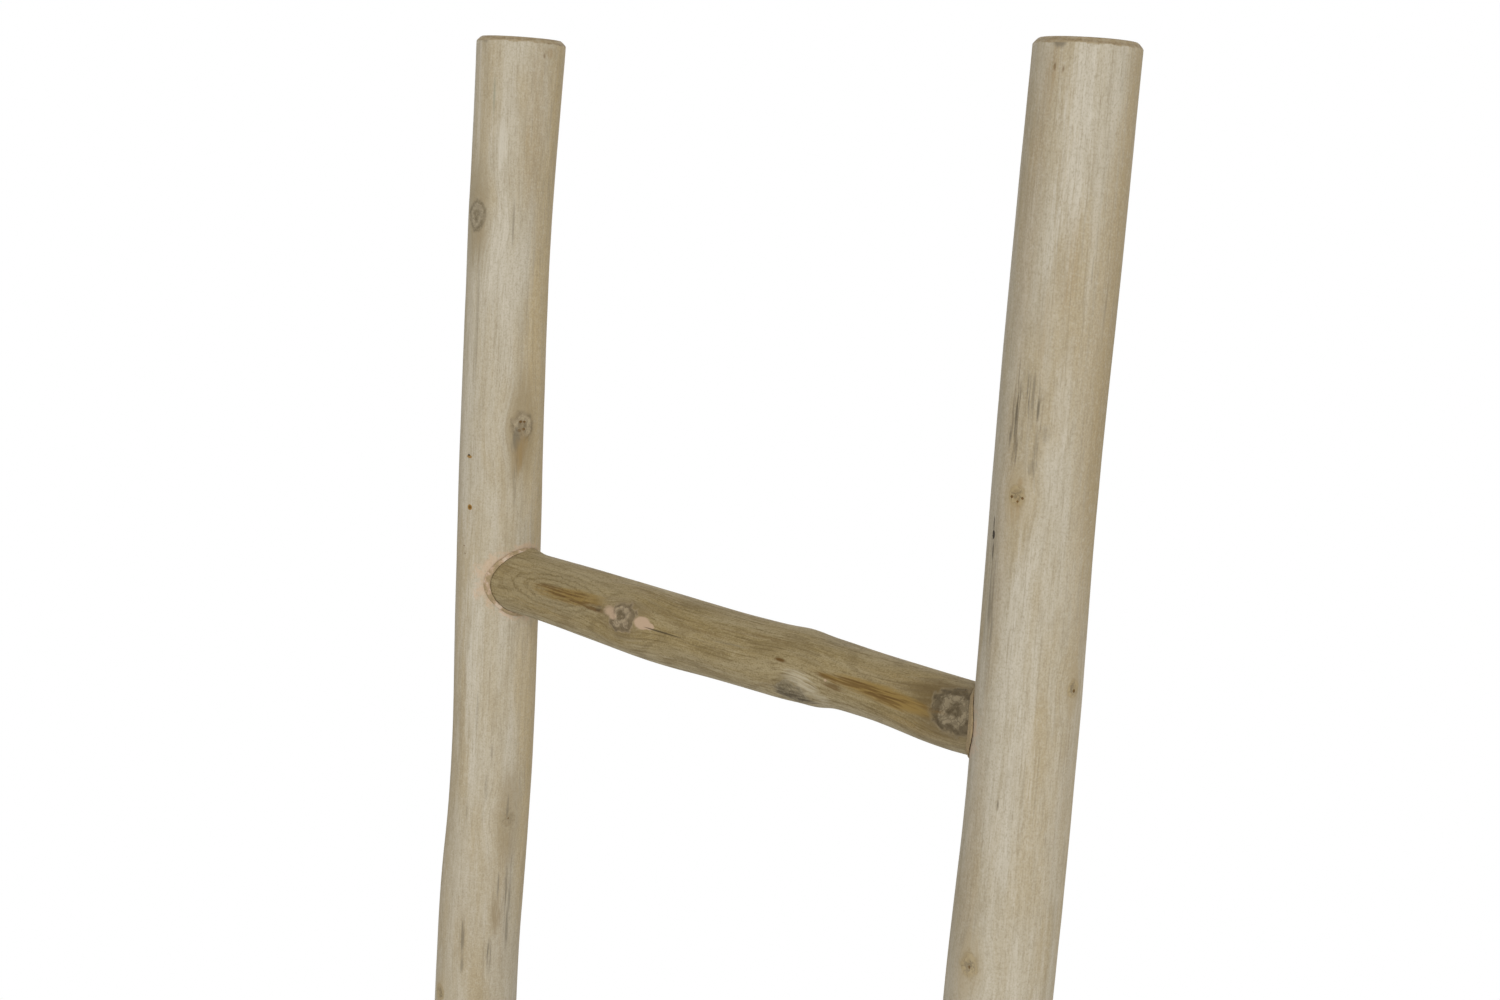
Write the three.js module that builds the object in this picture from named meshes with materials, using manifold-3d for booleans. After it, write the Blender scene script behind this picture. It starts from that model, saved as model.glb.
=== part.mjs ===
// Leaning towel ladder made of peeled teak poles.
// Two natural poles stand as rails and four thinner branches run between them as rungs.
// Each rung is coped to the round of the rail, its turned tenon is glued into a blind
// mortise, and a bead of wood filler closes the joint all round.
// Millimetres, +Z up along the rails, +X to the right-hand rail, -Y to the room.
// The origin is on the floor, midway between the rails.
import * as THREE from 'three';
import { mergeVertices } from 'three/addons/utils/BufferGeometryUtils.js';
import Module from 'manifold-3d';

const wasm = await Module();
wasm.setup();

// Driving dimensions of the ladder
const ladderHeight = 1750;
const railSpacing = 444;
const topRungDrop = 360;
const rungPitch = 345;
const rungCount = 4;
const railDiameter = 56;
const rungDiameter = 43;

// How far each pole departs from a round, straight stick
const bendScale = 1;
const railOvality = 0.018;
const rungOvality = 0.03;
const firstOvalTurn = 50;
const ovalTurnStep = 40;

// Joints and sawn ends
const tenonDiameter = 26;
const mortiseDepth = 38;
const tenonClearance = 0.3;
const tenonEndGap = 2;
const tenonChamfer = 1.5;
const straightBeforeRail = 12;
const seatGap = 0.3;
const fillerWidth = 2.5;
const railEndChamfer = 3.2;

// Fineness of the faceted surfaces
const railSides = 24;
const railRingStep = 38;
const rungSides = 22;
const rungRingStep = 15;
const fillerSteps = 24;

const railRadius = railDiameter / 2;
const rungRadius = rungDiameter / 2;
const tenonRadius = tenonDiameter / 2;

// A pole's stations are evenly spaced from its first end to its last.
// Each gives the centre's two sideways wanderings and how much the radius grows there.
// A rail's stations run from the top down: [right, back, growth].
// A rung's run from left to right: [up, back, growth].
const leftRailStations = [
  [0.6, 0.4, 1.0], [-1.2, -0.8, -0.7], [-0.9, -0.4, -0.2], [0.5, 1.0, 0.4], [1.5, 1.8, -0.1],
  [-0.9, -0.8, 0.5], [-2.6, 1.0, 0.8], [-1.5, 3.2, 0.6], [1.4, 3.0, 1.2], [2.8, 0.6, 1.7],
  [1.2, -2.2, 1.4], [-1.6, -2.8, 2.2], [-2.4, -0.6, 2.7], [-0.6, 1.2, 2.9], [1.8, 1.6, 3.6],
];
const rightRailStations = [
  [0.6, 0.5, -0.1], [-0.3, 0.0, 0.5], [-0.8, 0.0, 0.2], [0.5, 0.4, 0.8], [-0.4, -0.6, 2.1],
  [-2.0, -1.8, 1.9], [-1.4, -2.4, 1.3], [1.2, -0.6, 1.6], [3.0, 2.0, 2.2], [2.2, 3.4, 2.0],
  [-0.8, 2.4, 2.6], [-2.8, -0.2, 3.2], [-1.8, -2.2, 2.9], [0.8, -1.6, 3.4], [2.0, 0.8, 4.2],
];
const rungStations = [
  [[2.0, 0.0, -0.1], [2.0, 0.4, 0.3], [0.7, 0.9, 1.3], [-0.6, 0.8, 2.0], [0.1, 0.2, 0.9],
   [1.3, -0.5, 0.6], [2.7, -0.8, -1.9], [0.9, -0.4, -1.5], [-0.6, 0.0, -1.5]],
  [[0.0, 0.0, -1.2], [-1.2, -0.8, -1.0], [-2.4, -1.6, -0.2], [-2.0, -1.0, 1.2], [-0.6, 0.6, 0.9],
   [0.8, 1.8, 0.2], [1.6, 1.6, 0.6], [1.0, 0.8, 1.2], [0.0, 0.0, 1.4]],
  [[0.0, 0.0, 1.0], [1.4, 0.6, 0.7], [2.2, 1.6, -0.4], [1.4, 2.0, -0.8], [-0.2, 1.2, 0.5],
   [-1.6, -0.4, 1.5], [-1.8, -1.4, 0.6], [-0.8, -0.8, -0.2], [0.0, 0.0, 0.2]],
  [[0.0, 0.0, 0.4], [-0.8, 1.2, 1.0], [-0.4, 2.2, 1.8], [1.0, 1.8, 1.1], [2.2, 0.2, 0.2],
   [2.0, -1.4, -0.4], [0.6, -1.8, 0.6], [-0.4, -0.8, 1.6], [0.0, 0.0, 1.2]],
];

// Swellings over healed knots: where on the pole's length and round it, how wide and how proud.
// along is measured from the top of a rail, or from the middle of a rung to the right.
// turn is in degrees from the right (rail) or the top (rung), towards the back.
const leftRailKnots = [
  { along: 115, turn: 269, spread: 22, proud: 0.9 },
  { along: 252, turn: 347, spread: 20, proud: 0.9 },
  { along: 575, turn: 250, spread: 38, proud: 1.2 },
  { along: 890, turn: 120, spread: 30, proud: 1.6 },
  { along: 1180, turn: 35, spread: 34, proud: 1.8 },
  { along: 1520, turn: 230, spread: 32, proud: 1.6 },
];
const rightRailKnots = [
  { along: 229, turn: 275, spread: 22, proud: 0.7 },
  { along: 329, turn: 2, spread: 24, proud: 0.9 },
  { along: 482, turn: 270, spread: 28, proud: 0.9 },
  { along: 970, turn: 160, spread: 30, proud: 1.5 },
  { along: 1310, turn: 265, spread: 36, proud: 1.9 },
  { along: 1600, turn: 60, spread: 28, proud: 1.4 },
];
const rungKnots = [
  [{ along: -72, turn: 284, spread: 18, proud: 1.0 }, { along: 72, turn: 20, spread: 17, proud: 1.5 },
   { along: 64, turn: 190, spread: 15, proud: 1.2 }, { along: 176, turn: 292, spread: 18, proud: 0.9 }],
  [{ along: -60, turn: 330, spread: 20, proud: 1.7 }, { along: 118, turn: 230, spread: 18, proud: 1.4 }],
  [{ along: -122, turn: 240, spread: 18, proud: 1.3 }, { along: 34, turn: 300, spread: 20, proud: 1.9 }],
  [{ along: -20, turn: 255, spread: 20, proud: 1.5 }, { along: 104, turn: 30, spread: 18, proud: 1.7 }],
];

const radians = THREE.MathUtils.degToRad;
const clamp = THREE.MathUtils.clamp;

// A natural pole answers two questions at a place along its axis:
// where its centre lies, and how thick it is in each direction.
function naturalPole(stations, length, radius, ovality, knots, twist) {
  const spline = new THREE.CatmullRomCurve3(
    stations.map(([a, b, growth]) => new THREE.Vector3(a, b, growth)), false, 'catmullrom', 0.5);
  const at = (along) => spline.getPoint(clamp(along / length, 0, 1));
  return {
    centre(along) {
      const point = at(along);
      return [point.x * bendScale, point.y * bendScale];
    },
    radius(along, angle) {
      const girth = radius + at(along).z;
      const oval = 1 + ovality * Math.cos(2 * (angle - radians(twist) * (1 + along / length)));
      let reach = girth * oval;
      for (const knot of knots) {
        const round = Math.atan2(Math.sin(angle - radians(knot.turn)), Math.cos(angle - radians(knot.turn)));
        const away = Math.hypot(along - knot.along, round * girth) / knot.spread;
        reach += knot.proud * Math.exp(-away * away);
      }
      return reach;
    },
  };
}

// Rings of points, all with the same count, become one closed skin with a flat or pointed cap.
function skinOverRings(rings) {
  const sides = rings[0].length;
  const middle = (ring) => ring
    .reduce((sum, point) => sum.add(point), new THREE.Vector3())
    .divideScalar(sides);
  const points = [...rings.flat(), middle(rings[0]), middle(rings[rings.length - 1])];
  const firstCap = rings.length * sides;
  const lastCap = firstCap + 1;
  const faces = [];
  for (let side = 0; side < sides; side += 1) {
    const next = (side + 1) % sides;
    faces.push(firstCap, next, side);
    for (let ring = 0; ring + 1 < rings.length; ring += 1) {
      const low = ring * sides;
      const high = low + sides;
      faces.push(low + side, low + next, high + next);
      faces.push(low + side, high + next, high + side);
    }
    const end = (rings.length - 1) * sides;
    faces.push(lastCap, end + side, end + next);
  }
  const geometry = new THREE.BufferGeometry();
  geometry.setAttribute('position', new THREE.Float32BufferAttribute(points.flatMap((p) => p.toArray()), 3));
  geometry.setIndex(faces);
  geometry.computeVertexNormals();
  return geometry;
}

function toSolid(geometry) {
  const bare = geometry.clone();
  bare.deleteAttribute('normal');
  if (bare.attributes.uv) bare.deleteAttribute('uv');
  const welded = mergeVertices(bare, 1e-4);
  return new wasm.Manifold(new wasm.Mesh({
    numProp: 3,
    vertProperties: new Float32Array(welded.attributes.position.array),
    triVerts: new Uint32Array(welded.index.array),
  }));
}

function fromSolid(solid) {
  const mesh = solid.getMesh();
  const geometry = new THREE.BufferGeometry();
  geometry.setAttribute('position', new THREE.BufferAttribute(new Float32Array(mesh.vertProperties), 3));
  geometry.setIndex(new THREE.BufferAttribute(new Uint32Array(mesh.triVerts), 1));
  geometry.computeVertexNormals();
  return geometry;
}

const peeledRail = { color: 0xb3a78c, roughness: 0.72, metalness: 0 };
const peeledRung = { color: 0x94866a, roughness: 0.7, metalness: 0 };
const woodFiller = { color: 0xc9a78b, roughness: 0.85, metalness: 0 };

function namedMesh(name, geometry, finish) {
  const mesh = new THREE.Mesh(geometry, new THREE.MeshStandardMaterial(finish));
  mesh.name = name;
  return mesh;
}

// The two rails, as poles standing on the floor at each side
const rails = [
  { name: 'rail_left', x: -railSpacing / 2, stations: leftRailStations, knots: leftRailKnots, twist: 35 },
  { name: 'rail_right', x: railSpacing / 2, stations: rightRailStations, knots: rightRailKnots, twist: 80 },
].map((rail) => ({
  ...rail,
  pole: naturalPole(rail.stations, ladderHeight, railRadius, railOvality, rail.knots, rail.twist),
}));

// The rail's outline at one height, drawn in by inset at a chamfered end
function railRing(rail, z, inset) {
  const along = ladderHeight - z;
  const [right, back] = rail.pole.centre(along);
  return Array.from({ length: railSides }, (_, side) => {
    const angle = (side / railSides) * 2 * Math.PI;
    const reach = rail.pole.radius(along, angle) - inset;
    return new THREE.Vector3(
      rail.x + right + reach * Math.cos(angle), back + reach * Math.sin(angle), z);
  });
}

// Where a skin at some distance over the rail's round, on the side that faces the rung,
// is met at a given depth and height
function railFace(rail, y, z, distance) {
  const along = ladderHeight - z;
  const [right, back] = rail.pole.centre(along);
  const inward = -Math.sign(rail.x);
  let reach = railRadius + distance;
  let across = reach;
  for (let pass = 0; pass < 6; pass += 1) {
    const sideways = clamp(y - back, -0.97 * reach, 0.97 * reach);
    across = Math.sqrt(reach * reach - sideways * sideways);
    reach = rail.pole.radius(along, Math.atan2(sideways, inward * across)) + distance;
  }
  return rail.x + right + inward * across;
}

const rungHeights = Array.from(
  { length: rungCount }, (_, index) => ladderHeight - topRungDrop - index * rungPitch);

// A round hole drilled square into the rail, from its face to the mortise's flat bottom
function mortise(rail, z, centreY, centreZ) {
  const inward = -Math.sign(rail.x);
  const face = railFace(rail, centreY, centreZ, 0);
  const overshoot = railRadius;
  const drill = new THREE.CylinderGeometry(
    tenonRadius + tenonClearance, tenonRadius + tenonClearance, mortiseDepth + overshoot, rungSides);
  drill.rotateZ(Math.PI / 2);
  drill.translate(face + inward * (overshoot - mortiseDepth) / 2, centreY, centreZ);
  return toSolid(drill);
}

// The rungs, each with its own branch, centred between the rails
const rungs = rungHeights.map((z, index) => {
  const branch = index % rungStations.length;
  const knots = rungKnots[branch].map((knot) => ({ ...knot, along: knot.along + railSpacing / 2 }));
  const ovalTurn = firstOvalTurn + ovalTurnStep * branch;
  const pole = naturalPole(
    rungStations[branch], railSpacing, rungRadius, rungOvality, knots, ovalTurn);
  return { name: `rung_${index + 1}`, z, pole };
});

// The rung's centre and outline at a distance from the left rail's axis.
// It keeps one section inside each joint, so that shoulder, tenon and filler agree there.
const jointReach = railRadius + straightBeforeRail;
const inSpan = (along) => clamp(along, jointReach, railSpacing - jointReach);

function rungCentre(rung, along) {
  const [up, back] = rung.pole.centre(inSpan(along));
  return { y: back, z: rung.z + up };
}

function rungOutline(rung, along, angle, extra) {
  const { y, z } = rungCentre(rung, along);
  const reach = rung.pole.radius(inSpan(along), angle) + extra;
  return { reach, y: y + reach * Math.sin(angle), z: z + reach * Math.cos(angle) };
}

const rungAngles = (count) => Array.from({ length: count }, (_, side) => (side / count) * 2 * Math.PI);

// The end of a rung: its shoulder follows the rail's round, and its tenon goes into the mortise
function rungEndRings(rung, rail) {
  const inward = -Math.sign(rail.x);
  const along = rail.x < 0 ? 0 : railSpacing;
  const { y: centreY, z: centreZ } = rungCentre(rung, along);
  const bottom = railFace(rail, centreY, centreZ, 0) - inward * (mortiseDepth - tenonEndGap);
  const flatRing = (x, radius) => rungAngles(rungSides).map((angle) => new THREE.Vector3(
    x, centreY + radius * Math.sin(angle), centreZ + radius * Math.cos(angle)));
  const copedRing = (share) => rungAngles(rungSides).map((angle) => {
    const shoulder = rungOutline(rung, along, angle, 0).reach;
    const reach = tenonRadius + (shoulder - tenonRadius) * share;
    const y = centreY + reach * Math.sin(angle);
    const z = centreZ + reach * Math.cos(angle);
    return new THREE.Vector3(railFace(rail, y, z, seatGap), y, z);
  });
  return [
    flatRing(bottom, tenonRadius - tenonChamfer),
    flatRing(bottom + inward * tenonChamfer, tenonRadius),
    copedRing(0),
    copedRing(1 / 3),
    copedRing(2 / 3),
    copedRing(1),
  ];
}

function rungGeometry(rung) {
  const [left, right] = rails;
  const run = railSpacing - 2 * jointReach;
  const steps = Math.round(run / rungRingStep);
  const middleRings = Array.from({ length: steps + 1 }, (_, step) => {
    const along = railSpacing - jointReach - (run * step) / steps;
    return rungAngles(rungSides).map((angle) => {
      const { y, z } = rungOutline(rung, along, angle, 0);
      return new THREE.Vector3(along - railSpacing / 2, y, z);
    });
  });
  return skinOverRings([
    ...rungEndRings(rung, right),
    ...middleRings,
    ...rungEndRings(rung, left).reverse(),
  ]);
}

// The bead of filler is a small fillet that runs right round the corner of rung and rail
function fillerGeometry(rung, rail) {
  const inward = -Math.sign(rail.x);
  const along = rail.x < 0 ? 0 : railSpacing;
  const loops = rungAngles(fillerSteps).map((angle) => {
    const corner = (overRung, overRail) => {
      const { y, z } = rungOutline(rung, along, angle, overRung);
      return new THREE.Vector3(railFace(rail, y, z, overRail), y, z);
    };
    return [
      corner(seatGap, 1.5 * seatGap),
      corner(seatGap, fillerWidth),
      corner(0.4 * fillerWidth, 0.45 * fillerWidth),
      corner(fillerWidth, 1.5 * seatGap),
    ];
  });
  const corners = loops[0].length;
  const faces = [];
  loops.forEach((_, step) => {
    const here = step * corners;
    const next = ((step + 1) % fillerSteps) * corners;
    for (let corner = 0; corner < corners; corner += 1) {
      const after = (corner + 1) % corners;
      const quad = [here + corner, next + corner, next + after, here + after];
      if (inward < 0) quad.reverse();
      faces.push(quad[0], quad[1], quad[2], quad[0], quad[2], quad[3]);
    }
  });
  const geometry = new THREE.BufferGeometry();
  geometry.setAttribute('position', new THREE.Float32BufferAttribute(
    loops.flat().flatMap((point) => point.toArray()), 3));
  geometry.setIndex(faces);
  geometry.computeVertexNormals();
  return geometry;
}

function railGeometry(rail) {
  const steps = Math.round((ladderHeight - 2 * railEndChamfer) / railRingStep);
  const body = Array.from({ length: steps + 1 }, (_, step) => railRing(
    rail, railEndChamfer + ((ladderHeight - 2 * railEndChamfer) * step) / steps, 0));
  const stick = skinOverRings([
    railRing(rail, 0, railEndChamfer),
    ...body,
    railRing(rail, ladderHeight, railEndChamfer),
  ]);
  const along = rail.x < 0 ? 0 : railSpacing;
  let solid = toSolid(stick);
  for (const rung of rungs) {
    const { y, z } = rungCentre(rung, along);
    solid = solid.subtract(mortise(rail, rung.z, y, z));
  }
  return fromSolid(solid);
}

const ladder = new THREE.Group();
for (const rail of rails) {
  ladder.add(namedMesh(rail.name, railGeometry(rail), peeledRail));
}
for (const rung of rungs) {
  ladder.add(namedMesh(rung.name, rungGeometry(rung), peeledRung));
  for (const rail of rails) {
    const side = rail.x < 0 ? 'left' : 'right';
    ladder.add(namedMesh(`filler_${rung.name}_${side}`, fillerGeometry(rung, rail), woodFiller));
  }
}

// Natural poles are never quite straight, so the whole ladder is centred on its own box.
const reach = new THREE.Box3().setFromObject(ladder);
const middle = reach.getCenter(new THREE.Vector3());
ladder.position.set(-middle.x, -middle.y, 0);
ladder.updateMatrixWorld(true);

export default ladder;
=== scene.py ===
import math

import bmesh
import bpy
import numpy as np
from mathutils import Matrix, Vector, noise
from mathutils.bvhtree import BVHTree


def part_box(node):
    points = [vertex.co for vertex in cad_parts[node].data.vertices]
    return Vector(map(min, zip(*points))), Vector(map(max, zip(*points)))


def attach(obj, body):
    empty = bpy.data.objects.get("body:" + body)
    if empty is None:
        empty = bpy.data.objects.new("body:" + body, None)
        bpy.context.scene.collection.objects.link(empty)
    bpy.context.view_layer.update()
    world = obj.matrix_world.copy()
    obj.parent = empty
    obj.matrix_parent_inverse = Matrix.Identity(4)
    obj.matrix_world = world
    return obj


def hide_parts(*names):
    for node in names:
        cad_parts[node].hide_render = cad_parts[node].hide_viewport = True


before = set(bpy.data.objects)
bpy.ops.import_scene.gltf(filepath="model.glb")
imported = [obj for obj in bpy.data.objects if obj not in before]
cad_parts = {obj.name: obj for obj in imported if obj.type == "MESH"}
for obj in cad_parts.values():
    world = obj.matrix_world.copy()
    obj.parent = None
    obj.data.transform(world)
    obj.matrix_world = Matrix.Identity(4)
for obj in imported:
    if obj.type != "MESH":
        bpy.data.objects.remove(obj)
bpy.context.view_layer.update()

# Camera.
# A standard lens at head height, turned 44 degrees to the right of the front and looking
# down a little. The photographed ladder leaned back on a wall. This one stands upright, as a
# shelf part does, so the lean is turned out of the camera's place.
MM = 0.001
LADDER_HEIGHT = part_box("rail_left")[1][2]
LEAN = math.radians(5.36)
CAMERA_TURN = math.radians(44.095)
CAMERA_DIP = math.radians(13.38)
CAMERA_FROM_TOP = Vector((802.28, -842.28, 3.44)) * MM
LENS_MM = 47.07
SENSOR_MM = 36.0

ahead_level = Vector((-math.sin(CAMERA_TURN), math.cos(CAMERA_TURN), 0))
camera_right = Vector((math.cos(CAMERA_TURN), math.sin(CAMERA_TURN), 0))
camera_ahead = ahead_level * math.cos(CAMERA_DIP) - Vector((0, 0, math.sin(CAMERA_DIP)))
camera_up = camera_right.cross(camera_ahead)
turn_out_lean = Matrix.Rotation(LEAN, 4, "X")
camera_axes = Matrix((camera_right, camera_up, -camera_ahead)).transposed().to_4x4()
camera_place = turn_out_lean @ CAMERA_FROM_TOP + Vector((0, 0, LADDER_HEIGHT))

bpy.ops.object.camera_add()
camera = bpy.context.object
camera.name = "camera"
camera.matrix_world = Matrix.Translation(camera_place) @ turn_out_lean @ camera_axes
camera.data.lens = LENS_MM
camera.data.sensor_width = SENSOR_MM
camera.data.clip_start = 0.05
bpy.context.scene.camera = camera
bpy.context.scene.view_settings.view_transform = "Standard"


# Floor, background and light.
# A plain pale studio: white round about, a soft key from the camera's side, and two weaker
# lamps from the wall side, over an even sky.
SKY_LEVEL = 0.44
KEY_LEVEL = 0.62
BACK_LEVEL = 0.28
SIDE_LEVEL = 0.13
WHITE = (1, 1, 1)
FLOOR_GREY = (0.86, 0.86, 0.86)
FLOOR_WIDTH = 40.0
SHADOW_REACH = 0.9
SHADOW_SHARE = 0.65
DRY_SHEEN = 0.12


class Wire:
    """A socket that can stand in a Python expression, which adds the Math nodes for it."""

    def __init__(self, wiring, socket):
        self.wiring = wiring
        self.socket = socket

    def math(self, operation, *others):
        return self.wiring.node("ShaderNodeMath", {"operation": operation}, [self, *others])

    def __add__(self, other):
        return self.math("ADD", other)

    def __radd__(self, other):
        return self.math("ADD", other)

    def __sub__(self, other):
        return self.math("SUBTRACT", other)

    def __rsub__(self, other):
        return self.wiring.node("ShaderNodeMath", {"operation": "SUBTRACT"}, [other, self])

    def __mul__(self, other):
        return self.math("MULTIPLY", other)

    def __rmul__(self, other):
        return self.math("MULTIPLY", other)

    def __truediv__(self, other):
        return self.math("DIVIDE", other)

    def __neg__(self):
        return self.math("MULTIPLY", -1.0)

    def greater(self, other):
        return self.math("MAXIMUM", other)

    def bell(self):
        return (-self).math("EXPONENT")

    def ramp(self, low, high):
        """0 below low, 1 above high and smooth between them; high may be the smaller."""
        return self.wiring.node(
            "ShaderNodeMapRange", {"interpolation_type": "SMOOTHSTEP"}, [self, low, high, 0.0, 1.0])


class Wiring:
    """The nodes of one material or of the sky."""

    def __init__(self, tree):
        self.tree = tree

    def plug(self, target, value):
        if isinstance(value, Wire):
            self.tree.links.new(value.socket, target)
        elif target.type == "RGBA":
            target.default_value = (*value, 1)
        else:
            target.default_value = value

    def node(self, kind, settings, inputs, output=0):
        """Adds a node. A list fills its sockets in order, a dictionary by name or number."""
        made = self.tree.nodes.new(kind)
        for key, value in settings.items():
            setattr(made, key, value)
        pairs = inputs.items() if isinstance(inputs, dict) else enumerate(inputs)
        for key, value in pairs:
            self.plug(made.inputs[key], value)
        return Wire(self, made.outputs[output])

    def place(self):
        return self.node("ShaderNodeTexCoord", {}, [], "Object")

    def parts(self, vector):
        return [self.node("ShaderNodeSeparateXYZ", {}, [vector], axis) for axis in range(3)]

    def vector(self, x, y, z):
        return self.node("ShaderNodeCombineXYZ", {}, [x, y, z])

    def vector_math(self, operation, *vectors):
        return self.node("ShaderNodeVectorMath", {"operation": operation}, list(vectors))

    def stretch(self, vector, amount):
        """The vector times a plain number or wire."""
        return self.node(
            "ShaderNodeVectorMath", {"operation": "SCALE"}, {"Vector": vector, "Scale": amount})

    def length(self, vector):
        return self.square_length(vector).math("SQRT")

    def square_length(self, vector):
        return self.node(
            "ShaderNodeVectorMath", {"operation": "DOT_PRODUCT"}, [vector, vector], "Value")

    def noise(self, vector, detail=3.0, rough=0.5, warp=0.0):
        return self.node("ShaderNodeTexNoise", {}, {
            "Vector": vector, "Scale": 1.0, "Detail": detail, "Roughness": rough, "Distortion": warp})

    def blend(self, amount, one, other):
        return self.node("ShaderNodeMix", {"data_type": "RGBA"}, {0: amount, 6: one, 7: other}, 2)


class Finish(Wiring):
    """One material. Its colour and height are laid on in coats, and close wires them up."""

    def __init__(self, name):
        self.material = bpy.data.materials.new(name)
        self.material.use_nodes = True
        super().__init__(self.material.node_tree)
        self.shader = self.tree.nodes["Principled BSDF"]
        self.colour = None
        self.height = None

    def coat(self, amount, colour):
        """Lays a colour over the coats so far, as strongly as amount says."""
        self.colour = self.blend(amount, self.colour, colour)

    def close(self, roughness, depth):
        bump = self.node("ShaderNodeBump", {}, {
            "Strength": 1.0, "Distance": depth, "Height": self.height}, "Normal")
        self.plug(self.shader.inputs["Base Color"], self.colour)
        self.plug(self.shader.inputs["Roughness"], roughness)
        self.plug(self.shader.inputs["Normal"], bump)
        self.plug(self.shader.inputs["Specular IOR Level"], DRY_SHEEN)
        return self.material


bpy.ops.mesh.primitive_plane_add(size=FLOOR_WIDTH, location=(0, 0, 0))
floor = bpy.context.object
floor.name = "floor"
floor_finish = Finish("pale_floor")
floor_finish.plug(floor_finish.shader.inputs["Base Color"], FLOOR_GREY)
floor_finish.plug(floor_finish.shader.inputs["Roughness"], 0.9)
floor_white = floor_finish.node("ShaderNodeEmission", {}, [WHITE, 1.0])
floor_seen = floor_finish.node("ShaderNodeLightPath", {}, [], "Is Camera Ray")
floor_far = floor_finish.length(floor_finish.place())
past_shadow = floor_far.ramp(SHADOW_REACH, SHADOW_REACH * 2)
floor_mix = floor_finish.node("ShaderNodeMixShader", {}, {
    0: floor_seen * (1 - SHADOW_SHARE + past_shadow * SHADOW_SHARE),
    1: Wire(floor_finish, floor_finish.shader.outputs[0]),
    2: floor_white})
floor_finish.plug(floor_finish.tree.nodes["Material Output"].inputs["Surface"], floor_mix)
floor.data.materials.append(floor_finish.material)

world = bpy.data.worlds.new("studio")
world.use_nodes = True
bpy.context.scene.world = world
sky = Wiring(world.node_tree)
background = sky.tree.nodes["Background"]
sky_seen = sky.node("ShaderNodeLightPath", {}, [], "Is Camera Ray")
sky_mirrored = sky.node("ShaderNodeLightPath", {}, [], "Is Glossy Ray")
sky_white = sky_seen.greater(sky_mirrored)
sky.plug(background.inputs["Color"], WHITE)
sky.plug(background.inputs["Strength"], SKY_LEVEL + sky_white * (1 - SKY_LEVEL))


def add_lamp(name, level, toward, softness):
    """A far, soft lamp whose light falls along toward; level 1 renders a colour as written."""
    bpy.ops.object.light_add(type="SUN")
    lamp = bpy.context.object
    lamp.name = name
    lamp.data.energy = level * math.pi
    lamp.data.angle = math.radians(softness)
    lamp.rotation_euler = Vector(toward).to_track_quat("-Z", "Y").to_euler()


add_lamp("key_lamp", KEY_LEVEL, (-0.62, 0.70, -0.36), 40)
add_lamp("back_lamp", BACK_LEVEL, (0.66, -0.68, -0.32), 50)
add_lamp("side_lamp", SIDE_LEVEL, (-0.34, -0.94, -0.15), 50)


# Rails.
# Two natural teak poles, barked, dried and sanded, sawn square and chamfered at both ends.
# Each has a blind round mortise for every rung, bored from its inner side.
RAIL_SIDE = {"rail_left": -1, "rail_right": 1}
RAIL_SEED = {"rail_left": 9, "rail_right": 10}
RAIL_AXIS = 222 * MM
RAIL_SIDES = 96
RAIL_RINGS = (23, 24)
RAIL_CHAMFER = 3.2 * MM
MORTISE_RADIUS = 13.3 * MM
MORTISE_DEPTH = 38.0 * MM
DRILL_SIDES = 48
DRILL_OUTSIDE = 20 * MM
RUNG_COUNT = 4
RUNG_STRAIGHT = 181 * MM
SMOOTH_ANGLE = 40


def nothing_selected():
    if bpy.context.object and bpy.context.object.mode != "OBJECT":
        bpy.ops.object.mode_set(mode="OBJECT")
    bpy.ops.object.select_all(action="DESELECT")


def only_selected(piece):
    nothing_selected()
    piece.select_set(True)
    bpy.context.view_layer.objects.active = piece


def select_edges(piece, wanted):
    """Selects the edges, in edit mode, for whose two corners wanted says yes."""
    bpy.ops.mesh.select_all(action="DESELECT")
    mesh = bmesh.from_edit_mesh(piece.data)
    for edge in mesh.edges:
        edge.select = wanted(*(vert.co for vert in edge.verts))
    bmesh.update_edit_mesh(piece.data)


END_RINGS = 4
END_RING_STEP = 0.2
SHORT_EDGE = 3 * MM


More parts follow.
